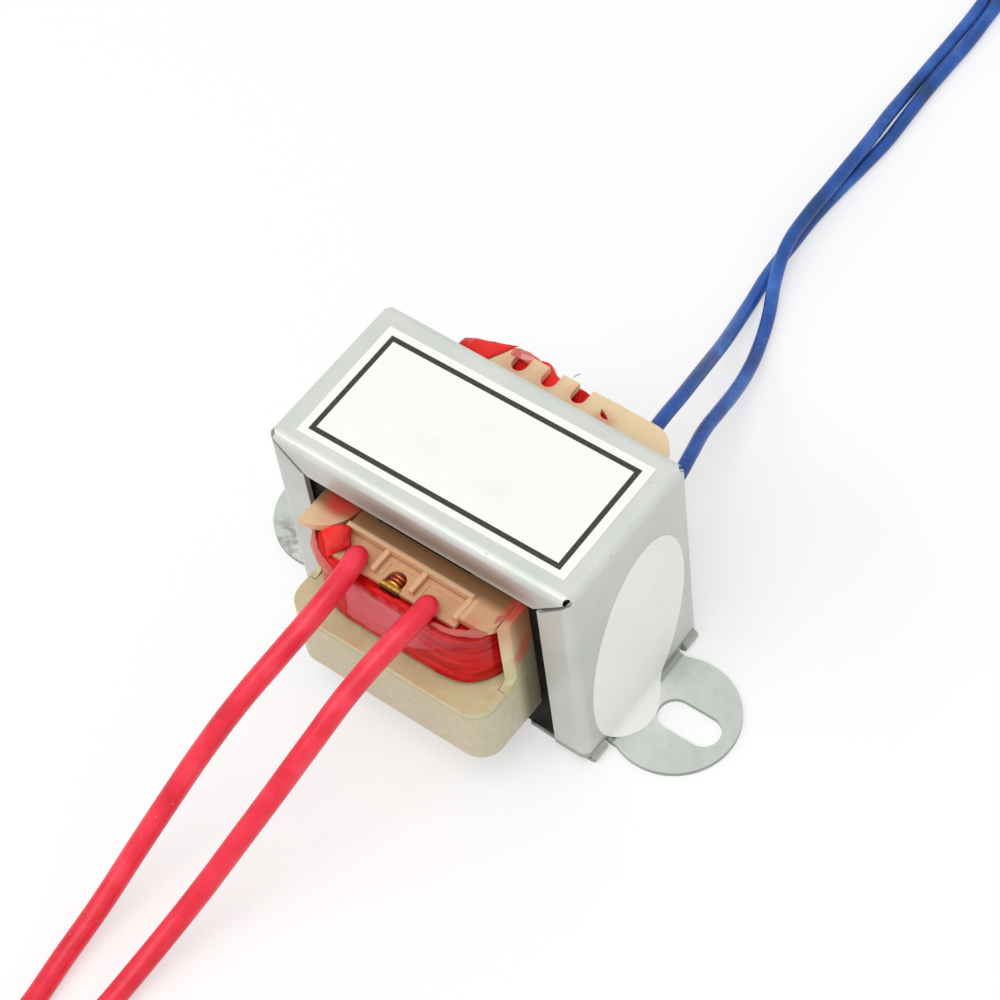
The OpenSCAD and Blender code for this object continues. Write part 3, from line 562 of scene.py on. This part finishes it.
class Mat:
    """A node material built up from a Principled shader."""

    def __init__(self, name, **values):
        self.material = bpy.data.materials.new(name)
        self.material.use_nodes = True
        self.tree = self.material.node_tree
        self.shader = self.tree.nodes["Principled BSDF"]
        self.place = self.tree.nodes.new("ShaderNodeTexCoord").outputs["Object"]
        for key, value in values.items():
            self.shader.inputs[key.replace("_", " ")].default_value = value

    def node(self, kind, inputs, output=0, **settings):
        """Adds a node, fills its inputs with sockets or values, and gives one of its outputs."""
        node = self.tree.nodes.new("ShaderNode" + kind)
        for key, value in settings.items():
            setattr(node, key, value)
        for key, value in inputs.items():
            if isinstance(value, bpy.types.NodeSocket):
                self.tree.links.new(value, node.inputs[key])
            else:
                node.inputs[key].default_value = value
        return node.outputs[output]

    def link(self, output, name):
        self.tree.links.new(output, self.shader.inputs[name])

    def math(self, operation, a, b=0.0):
        return self.node("Math", {0: a, 1: b}, operation=operation)

    def times(self, product, *factors):
        """Product of sockets and values."""
        for factor in factors:
            product = self.math("MULTIPLY", product, factor)
        return product

    def span(self, value, low, high, to_low=0.0, to_high=1.0):
        """Maps a value from one range to another, smoothly and clamped."""
        return self.node("MapRange", {0: value, 1: low, 2: high, 3: to_low, 4: to_high},
                         interpolation_type="SMOOTHSTEP")

    def span_mm(self, place, low_mm, high_mm, to_low=0.0, to_high=1.0):
        """Does the same for a length or place, with its range given in millimetres."""
        return self.span(place, low_mm * MM, high_mm * MM, to_low, to_high)

    def axis(self, name, place=None):
        return self.node("SeparateXYZ", {0: place or self.place}, output="XYZ".index(name))

    def stretched(self, x, y, z):
        return self.node("VectorMath", {0: self.place, 1: (x, y, z)}, operation="MULTIPLY")

    def noise(self, size_mm, detail, place=None, distortion=0.0):
        return self.node("TexNoise", {"Vector": place or self.place, "Scale": 1 / (size_mm * MM),
                                      "Detail": detail, "Distortion": distortion})

    def near(self, centre_mm, radius_mm):
        """1 at a place, falling smoothly to 0 at a distance from it."""
        away = self.node("VectorMath", {0: self.place, 1: Vector(centre_mm) * MM}, output=1,
                         operation="DISTANCE")
        return self.span_mm(away, 0.25 * radius_mm, radius_mm, 1.0, 0.0)

    def mix(self, share, a, b):
        return self.node("Mix", {0: share, 6: a, 7: b}, output=2, data_type="RGBA")

    def tint(self, colour, hex_colour, *shares):
        """Lays a colour over another by the product of some shares."""
        return self.mix(self.times(*shares), colour, rgb(hex_colour))

    def speckled(self, colour, hex_colour, spacing_mm, core, rim, share):
        """Lays small specks over a colour, solid to their core and gone at their rim."""
        cells = self.node("TexVoronoi", {"Vector": self.place, "Scale": 1 / (spacing_mm * MM)})
        return self.tint(colour, hex_colour, self.span(cells, core, rim, 1.0, 0.0), share)

    def ramp(self, value, *stops):
        """Colour ramp through (place, hex colour) stops."""
        node = self.tree.nodes.new("ShaderNodeValToRGB")
        self.tree.links.new(value, node.inputs[0])
        elements = node.color_ramp.elements
        while len(elements) < len(stops):
            elements.new(0.5)
        for element, (place, colour) in zip(elements, stops):
            element.position = place
            element.color = rgb(colour)
        return node.outputs[0]

    def link_bump(self, height, depth_mm):
        """Bumps the whole surface by a height."""
        self.link(self.node("Bump", {"Height": height, "Distance": depth_mm * MM,
                                     "Strength": 1.0}), "Normal")


def zinc_material():
    """Satin zinc plate: soft cloudy spangle, rolling marks, small scratches and cut edges."""
    mat = Mat("zinc", Metallic=0.35)
    x, y, height = (mat.axis(letter) for letter in "XYZ")
    cloud = mat.noise(9, 4)
    colour = mat.ramp(cloud, (0.3, "#ccd0ca"), (0.5, "#d4d7d1"), (0.72, "#dbded8"))
    colour = mat.tint(colour, "#bcc4bf", mat.span(mat.noise(0.7, 2), 0.3, 0.75, 0.0, 0.12))
    rolled = mat.noise(1, 2, mat.stretched(0.04, 1.6, 1.6))
    colour = mat.tint(colour, "#e2e6e1", mat.span(rolled, 0.64, 0.82, 0.0, 0.2))
    # Walls and lips carry painted shade, a little darker than the top, and the front lip a painted
    # brownish reflection and shade of the bobbin
    wall_shade = mat.times(mat.span_mm(height, 34.4, 33.4), mat.span_mm(height, 1.2, 3))
    colour = mat.tint(colour, "#b4b7b5", wall_shade, 0.35)
    by_bobbin = mat.times(mat.span_mm(x, -14, -2, 0.15, 1.0), mat.span_mm(x, 19, 12),
                          mat.span_mm(height, 30, 31))
    # Painted brownish reflection and shade of the bobbin on the front lip
    bobbin_reflection_on_lip = mat.times(mat.span_mm(height, 34.4, 31.5), mat.span_mm(y, -9.5, -10.5), by_bobbin)
    colour = mat.tint(colour, "#8a7568", bobbin_reflection_on_lip, 0.75)
    # Plate on the ears is a little greener, with a painted highlight at the bends, and greyer at
    # the ends
    low = mat.span_mm(height, 0.8, 2.6, 1.0, 0.0)
    colour = mat.tint(colour, "#d2dad3", low, 0.6)
    bend_highlights = [mat.near((side * BEND_PLACE[0], *BEND_PLACE[1:]), 5.5) for side in (1, -1)]
    colour = mat.tint(colour, "#f0f3ef", mat.math("MAXIMUM", *bend_highlights), 0.45)
    out = mat.math("ABSOLUTE", x)
    colour = mat.tint(colour, "#a9b1ab", mat.times(low, mat.span_mm(out, 25, 31)), 0.35)
    # The hooks lie in shade under the core
    hook = mat.times(mat.span_mm(height, 2.6, 2), mat.span_mm(out, 22.1, 21.7))
    colour = mat.tint(colour, "#66665f", hook, 0.55)
    grime = mat.math("MAXIMUM", mat.times(low, 0.12), mat.near(GRIMY_PLACE, 5.5))
    grime = mat.times(mat.span(mat.noise(1.6, 5), 0.45, 0.62), grime)
    colour = mat.tint(colour, "#7e7264", grime, 0.6)
    colour = mat.speckled(colour, "#4c4740", 3.4, 0.02, 0.035, 0.5)
    # Bare steel where the sheet was cut: the rims of the ears, the slots and the hooks
    level = mat.math("ABSOLUTE", mat.axis("Z", mat.node("NewGeometry", {}, output=1)))
    rim = mat.times(mat.span(level, 0.25, 0.1), mat.span_mm(height, 1.1, 0.8))
    colour = mat.tint(colour, "#888b8b", rim, 0.7)
    mat.link(colour, "Base Color")
    mat.link(mat.span(cloud, 0.3, 0.7, 0.44, 0.35), "Roughness")
    scratch = mat.span(mat.noise(0.35, 2, mat.stretched(0.05, 1, 1)), 0.7, 0.78)
    mat.link_bump(mat.math("ADD", mat.noise(6, 2), mat.times(scratch, -0.05)), 0.12)
    return mat.material


def core_material():
    """Annealed silicon steel with rust specks and a scaly skin, its dark colour deepened almost to
    black as painted shade for the gaps where it shows.
    """
    mat = Mat("core", Specular_IOR_Level=0.08)
    scale = mat.noise(1.6, 5)
    # Near-black: the steel's dark scale, deepened with painted shade for the gaps
    colour = mat.ramp(scale, (0.35, "#0c0b0a"), (0.58, "#191715"), (0.8, "#34312c"))
    colour = mat.tint(colour, "#4e3322", mat.span(mat.noise(0.8, 4), 0.6, 0.72), 0.35)
    mat.link(colour, "Base Color")
    mat.link(mat.span(scale, 0.3, 0.7, 0.65, 0.45), "Roughness")
    mat.link_bump(mat.noise(0.3, 3), 0.03)
    return mat.material


def cream_material():
    """Translucent cream nylon, warmer in the tray, greyer below, red over the tape."""
    mat = Mat("cream", Roughness=0.42, Specular_IOR_Level=0.35,
              Subsurface_Weight=0.2, Subsurface_Scale=1.2 * MM)
    x, y, height = (mat.axis(letter) for letter in "XYZ")
    level = mat.math("ADD", height, mat.times(mat.noise(4.5, 3), 2.4 * MM))
    colour = mat.ramp(mat.span_mm(level, 6, 29.5), (0.0, "#c6bfa6"), (0.42, "#c7c1a0"),
                      (0.56, "#cdc99b"), (0.8, "#d9c49c"), (1.0, "#ecd2a9"))
    colour = mat.tint(colour, "#efe3c4", mat.span(mat.noise(1.1, 4), 0.45, 0.75, 0.0, 0.25))
    # The tray lies over the winding and looks warmer for it; beside the core, under the frame's
    # lip, it turns brown, partly from the dark core through the plastic and partly as painted shade
    front = mat.times(mat.span_mm(height, 21, 27), mat.span_mm(y, -9, -10))
    colour = mat.tint(colour, "#c9916a", front, mat.span_mm(x, -11, -7.5, 0.35, 0.8))
    # Painted shade under the frame's lip, with the dark core seen through the plastic
    colour = mat.tint(colour, "#75502f", front, mat.span_mm(y, -13.4, -11.6), 0.9)
    # The tops of the tray's ribs and rail get a paler painted highlight
    rib_top_highlight = mat.times(mat.span_mm(height, 27.3, 27.7), mat.span_mm(y, -12.4, -12.9))
    middle = mat.span_mm(mat.math("ABSOLUTE", x), 9.8, 9.4, 0.0, 0.6)
    colour = mat.tint(colour, "#e3bd95", rib_top_highlight, middle)
    # The sides lie in shade where they go into the chassis
    in_frame = mat.times(mat.span_mm(x, 12.9, 13.3), mat.span_mm(y, -14.2, -11.8),
                         mat.span_mm(y, 9.5, 8.5))
    shade = mat.mix(mat.span_mm(height, 20, 25), rgb("#625840"), rgb("#a4704f"))
    colour = mat.mix(mat.times(in_frame, 0.75), colour, shade)
    for place, radius, share in TAPE_GLOWS:
        colour = mat.tint(colour, "#cc3a30", mat.near(place, radius), share)
    colour = mat.speckled(colour, "#5b4526", 2.3, 0.018, 0.034, 0.7)
    # Yellow stains along the middle flange, which lies on the covers' lower boxes
    seam = mat.times(mat.span_mm(height, 15.5, 15.9), mat.span_mm(height, 17, 16.6))
    colour = mat.tint(colour, "#cdb069", seam, mat.span(mat.noise(1.4, 4), 0.45, 0.7), 0.3)
    mat.link(colour, "Base Color")
    mat.link_bump(mat.noise(1.6, 4), 0.05)
    return mat.material


def tape_material(name, clear=False):
    """Glossy red polyester tape in layers, with painted highlight streaks and a paler panel where
    air lies under it.
    """
    mat = Mat(name, Roughness=0.18, Specular_IOR_Level=0.13)
    x, y, z = (mat.axis(letter) for letter in "XYZ")
    layers = mat.noise(4, 4, mat.stretched(0.55, 0.55, 3.2), distortion=0.6)
    colour = mat.ramp(layers, (0.34, "#9c0509"), (0.5, "#c30f12"), (0.66, "#d91e20"))
    # Paler streaks along the layers are painted highlights
    highlight_streaks = mat.noise(0.5, 3, mat.stretched(0.12, 0.12, 1))
    colour = mat.tint(colour, "#ea4a44", mat.span(highlight_streaks, 0.62, 0.82, 0.0, 0.4))
    # Pale panel on the front: full between the leads, a fainter narrowing band to their right
    wobble = mat.times(mat.math("SUBTRACT", mat.noise(3, 3), 0.5), 1.6 * MM)
    lower_edge = mat.math("ADD", mat.span_mm(x, 0, 11, 18.2 * MM, 24 * MM), wobble)
    above = mat.span_mm(mat.math("SUBTRACT", z, lower_edge), 0, 0.3)
    beside = mat.span_mm(mat.math("ADD", x, wobble), -6.4, -6)
    fading = mat.times(mat.span_mm(x, 2.5, 6, 0.85, 0.2), mat.span_mm(z, 25.2, 24.9))
    front = mat.span_mm(y, -14.8, -15.4)
    colour = mat.tint(colour, "#d6616c", above, beside, fading, front)
    lit = 0.0
    for place, radius in LIT_PLACES:
        lit = mat.math("MAXIMUM", lit, mat.near(place, radius))
    colour = mat.tint(colour, "#fb3a32", lit, 0.85)
    if clear:
        # A single loose layer is paler and shows what lies behind it
        colour = mat.tint(colour, "#f2a89b", 0.5)
        mat.shader.inputs["Alpha"].default_value = 0.55
    mat.link(colour, "Base Color")
    mat.link_bump(mat.noise(0.9, 4, mat.stretched(0.3, 0.3, 1)), 0.05)
    return mat.material


def enamel_material():
    """Enamelled copper: bright gold over the tray's edge with a painted highlight, redder and
    darker further in with painted shade, dark with painted shade where it hangs.
    """
    mat = Mat("enamel", Metallic=0.85, Roughness=0.22, Coat_Weight=0.6, Coat_Roughness=0.1)
    y = mat.axis("Y")
    # Bright gold on the bend over the edge is a painted highlight; the redder, darker copper in the
    # hole is partly painted shade
    colour = mat.mix(mat.span_mm(y, -16.1, -15.7), rgb("#d2a43e"), rgb("#b8562c"))
    # Painted shade on the part that hangs over the edge
    colour = mat.tint(colour, "#6e4d12", mat.span_mm(y, -16.6, -16.8))
    colour = mat.tint(colour, "#7e4a17", mat.span(mat.noise(0.25, 3), 0.4, 0.7, 0.0, 0.5))
    mat.link(colour, "Base Color")
    return mat.material


def tin_material():
    """Tinned copper strand with dull patches of flux."""
    mat = Mat("tin", Metallic=0.9)
    patches = mat.noise(0.5, 4)
    mat.link(mat.ramp(patches, (0.35, "#8f8a80"), (0.6, "#cfcfc9")), "Base Color")
    mat.link(mat.span(patches, 0.35, 0.65, 0.5, 0.22), "Roughness")
    mat.link_bump(mat.noise(0.2, 2), 0.02)
    return mat.material


def printed_rule(mat):
    """1 on the rule printed round the top label, with its slightly rough edges, 0 elsewhere."""
    turned = mat.node("Mapping", {"Vector": mat.place, "Location": RULE_CENTRE,
                                  "Rotation": (0, 0, RULE_TURN)}, vector_type="TEXTURE")
    turned = mat.node("VectorMath", {0: turned}, operation="ABSOLUTE")
    beyond = [mat.math("SUBTRACT", mat.axis(letter, turned), size / 2)
              for letter, size in zip("XY", RULE_SIZE)]
    out = mat.math("MAXIMUM", *beyond)
    out = mat.math("ADD", out, mat.times(mat.noise(0.12, 2), 0.05 * MM))
    return mat.times(mat.span_mm(out, 0.01, 0.05, 1.0, 0.0),
                     mat.span(out, -RULE_W - RULE_BLUR, -RULE_W + RULE_BLUR))


def paper_material(name, tone, ruled=False):
    """Sticker paper: faint fibres and handling marks, and on the top label a black rule."""
    mat = Mat(name, Roughness=0.48)
    fibres = mat.noise(0.18, 3)
    colour = mat.mix(mat.span(fibres, 0.35, 0.7, 0.0, 0.5), rgb(tone), rgb("#f1f0ea"))
    colour = mat.tint(colour, "#e7e6df", mat.span(mat.noise(6, 4), 0.55, 0.8, 0.0, 0.35))
    if ruled:
        ink = mat.mix(mat.span(mat.noise(0.3, 3), 0.4, 0.7), rgb("#24211f"), rgb("#3b3733"))
        colour = mat.mix(printed_rule(mat), colour, ink)
    mat.link(colour, "Base Color")
    mat.link_bump(mat.math("ADD", fibres, mat.times(mat.noise(8, 2), 6.0)), 0.02)
    return mat.material


def pvc_material(name, base, dark, pale):
    """Soft PVC insulation: slightly uneven colour, faint scuffs and dust."""
    mat = Mat(name, Roughness=0.33, Specular_IOR_Level=0.36)
    colour = mat.ramp(mat.noise(5, 3), (0.3, dark), (0.5, base), (0.75, pale))
    scuffs = mat.noise(1.3, 5, distortion=0.8)
    colour = mat.tint(colour, dark, mat.span(scuffs, 0.62, 0.74, 0.0, 0.5))
    colour = mat.speckled(colour, "#f2d9d6", 1.9, 0.03, 0.05, 0.45)
    mat.link(colour, "Base Color")
    mat.link_bump(mat.noise(0.8, 4), 0.03)
    return mat.material


zinc = zinc_material()
core = core_material()
cream = cream_material()
tape = tape_material("tape")
clear_film = tape_material("clear_film", clear=True)
enamel = enamel_material()
tin = tin_material()
top_paper = paper_material("top_paper", "#fbfaf6", ruled=True)
side_paper = paper_material("side_paper", "#f6f6f3")
red_pvc = pvc_material("red_pvc", "#ee2c43", "#dc1e36", "#f8485c")
blue_pvc = pvc_material("blue_pvc", "#2151a2", "#1b4279", "#3c70c0")

NODES_OF_MATERIAL = [
    (zinc, ("clamp_frame",)),
    (core, ("e_sheets_yoke_up", "i_sheets_bottom", "e_sheets_yoke_down", "i_sheets_top")),
    (cream, ("bobbin", "front_cover", "rear_cover")),
    (enamel, ("upper_winding", "lower_winding", "winding_wire_ends")),
    (tape, ("lower_tape",)),
    (tin, ("lead_joints",)),
    (top_paper, ("top_label",)),
    (side_paper, ("side_label",)),
]
PIECES_OF_MATERIAL = [
    (tape, (wrap, front_roll, notch_lump, end_lump, rear_lump)),
    (clear_film, (edge_film, notch_film, rear_film)),
    (cream, (tray_steps, ledge_web)),
    (enamel, (wire_band,)),
    (tin, (whisker,)),
]

for material, nodes in NODES_OF_MATERIAL:
    for node in nodes:
        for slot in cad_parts[node].material_slots:
            slot.material = material
for material, pieces in PIECES_OF_MATERIAL:
    for piece in pieces:
        piece.data.materials.append(material)
for leads, material, slot_name in ((red_leads, red_pvc, "red_pvc"),
                                   (blue_leads, blue_pvc, "blue_pvc")):
    for lead, strands in leads:
        lead.data.materials.append(material)
        strands.data.materials.append(tin)

# ---- Stage and light ----

# Half the side of the square floor, in metres like all of the stage
FLOOR_HALF = 3.0
# How far under the object the floor lies, so that their faces don't coincide
FLOOR_GAP = 0.02 * MM
# Share of plain white in what is seen of the floor near the object, and the distances between
# which that share grows to the whole
FLOOR_PLAIN_SHARE = 0.5
FLOOR_PLAIN_REACH = (0.2, 0.6)
WORLD_STRENGTH = 0.6
# Each lamp's place, its two sides and its power in watts
KEY_LAMP = ((0.1, -0.35, 1.1), (0.8, 0.8), 5.4)
STRIP_LAMP = ((-0.4, -0.6, 0.75), (0.6, 0.05), 1.3)


def seen_plainly(tree):
    """1 for what the camera, mirrors and clear plastic see, and 0 for light on the object."""
    path = tree.nodes.new("ShaderNodeLightPath")
    seen = path.outputs["Is Camera Ray"]
    for ray in ("Is Glossy Ray", "Is Transmission Ray"):
        either = tree.nodes.new("ShaderNodeMath")
        either.operation = "MAXIMUM"
        tree.links.new(seen, either.inputs[0])
        tree.links.new(path.outputs[ray], either.inputs[1])
        seen = either.outputs[0]
    return seen


def make_floor():
    """White floor that keeps the object's shadow."""
    mesh = bpy.data.meshes.new("floor")
    s = FLOOR_HALF
    mesh.from_pydata([(-s, -s, 0), (s, -s, 0), (s, s, 0), (-s, s, 0)], [], [(0, 1, 2, 3)])
    floor = bpy.data.objects.new("floor", mesh)
    floor.location.z = -FLOOR_GAP
    bpy.context.collection.objects.link(floor)
    mat = Mat("floor", Base_Color=(1, 1, 1, 1), Roughness=1.0, Specular_IOR_Level=0.0)
    plain = mat.node("Emission", {"Color": (1, 1, 1, 1), "Strength": 1.0})
    away = mat.node("VectorMath", {0: mat.place}, output=1, operation="LENGTH")
    share = mat.span(away, *FLOOR_PLAIN_REACH, FLOOR_PLAIN_SHARE, 1.0)
    share = mat.times(seen_plainly(mat.tree), share)
    surface = mat.node("MixShader", {0: share, 1: mat.shader.outputs[0], 2: plain})
    mat.tree.links.new(surface, mat.tree.nodes["Material Output"].inputs["Surface"])
    mesh.materials.append(mat.material)


def make_world():
    """Even white surroundings, at full white where they are seen."""
    world = bpy.data.worlds.new("world")
    world.use_nodes = True
    tree = world.node_tree
    background = tree.nodes["Background"]
    background.inputs["Color"].default_value = (1, 1, 1, 1)
    level = tree.nodes.new("ShaderNodeMapRange")
    level.inputs[3].default_value = WORLD_STRENGTH
    tree.links.new(seen_plainly(tree), level.inputs[0])
    tree.links.new(level.outputs[0], background.inputs["Strength"])
    bpy.context.scene.world = world


def make_lamp(name, place, sides, power):
    """Soft lamp that faces the object."""
    data = bpy.data.lights.new(name, "AREA")
    data.shape = "RECTANGLE"
    data.size, data.size_y = sides
    data.energy = power
    light = bpy.data.objects.new(name, data)
    light.location = place
    light.rotation_euler = (-Vector(place)).to_track_quat("-Z", "Y").to_euler()
    bpy.context.collection.objects.link(light)


make_floor()
make_world()
make_lamp("key", *KEY_LAMP)
make_lamp("strip", *STRIP_LAMP)

bpy.context.scene.view_settings.view_transform = "Standard"
